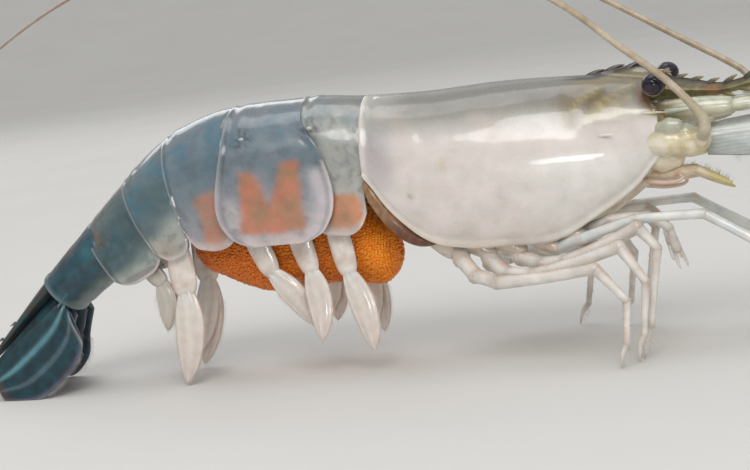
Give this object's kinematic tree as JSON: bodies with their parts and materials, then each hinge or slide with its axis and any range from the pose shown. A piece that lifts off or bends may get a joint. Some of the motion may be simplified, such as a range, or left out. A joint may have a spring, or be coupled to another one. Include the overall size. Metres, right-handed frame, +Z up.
{
  "type": "giant river prawn",
  "caption": "Giant river prawn, a female carrying her eggs under the tail, standing on her walking legs and tail fan with the long feelers swept back.",
  "frame": {"origin": "on the floor under the middle of the bounding box", "axes": "+X forwards to the snout, +Y to the animal's left, +Z up"},
  "size_m": [0.2742, 0.0826, 0.1056],
  "materials": {
    "carapace_shell": "wet, glossy, faintly translucent chitin",
    "rostrum_shell": "wet glossy chitin, olive brown",
    "abdomen_shell": "wet, glossy, translucent chitin",
    "tail_shell": "wet glossy chitin, dark teal",
    "limb_shell": "wet glossy chitin, cream",
    "swimmeret_shell": "wet, thin, translucent chitin",
    "scale_shell": "wet, thin, translucent chitin",
    "feeler_shell": "satin chitin",
    "eye": "wet and glossy",
    "eggs": "wet, finely granular"
  },
  "bodies": {
    "root": {"abdomen_1": "abdomen_shell", "abdomen_2": "abdomen_shell", "abdomen_3": "abdomen_shell", "abdomen_4": "abdomen_shell", "abdomen_5": "abdomen_shell", "abdomen_6": "tail_shell", "antenna_left": "limb_shell", "antenna_right": "limb_shell", "antennal_scale_left": "scale_shell", "antennal_scale_right": "scale_shell", "antennule_left": "feeler_shell", "antennule_right": "feeler_shell", "carapace": "carapace_shell", "egg_mass": "eggs", "eye_left": "eye", "eye_right": "eye", "eyestalk_left": "limb_shell", "eyestalk_right": "limb_shell", "flagellum_left_1": "feeler_shell", "flagellum_left_2": "feeler_shell", "flagellum_left_3": "feeler_shell", "flagellum_right_1": "feeler_shell", "flagellum_right_2": "feeler_shell", "flagellum_right_3": "feeler_shell", "head": "limb_shell", "leg_1_left": "limb_shell", "leg_1_right": "limb_shell", "leg_2_left": "limb_shell", "leg_2_right": "limb_shell", "leg_3_left": "limb_shell", "leg_3_right": "limb_shell", "leg_4_left": "limb_shell", "leg_4_right": "limb_shell", "leg_5_left": "limb_shell", "leg_5_right": "limb_shell", "maxilliped_left": "limb_shell", "maxilliped_right": "limb_shell", "pleopod_1_left": "swimmeret_shell", "pleopod_1_right": "swimmeret_shell", "pleopod_2_left": "swimmeret_shell", "pleopod_2_right": "swimmeret_shell", "pleopod_3_left": "swimmeret_shell", "pleopod_3_right": "swimmeret_shell", "pleopod_4_left": "swimmeret_shell", "pleopod_4_right": "swimmeret_shell", "pleopod_5_left": "swimmeret_shell", "pleopod_5_right": "swimmeret_shell", "rostrum": "rostrum_shell", "sternum": "limb_shell", "telson": "tail_shell", "uropod_endopod_left": "tail_shell", "uropod_endopod_right": "tail_shell", "uropod_exopod_left": "tail_shell", "uropod_exopod_right": "tail_shell"}
  },
  "joints": []
}
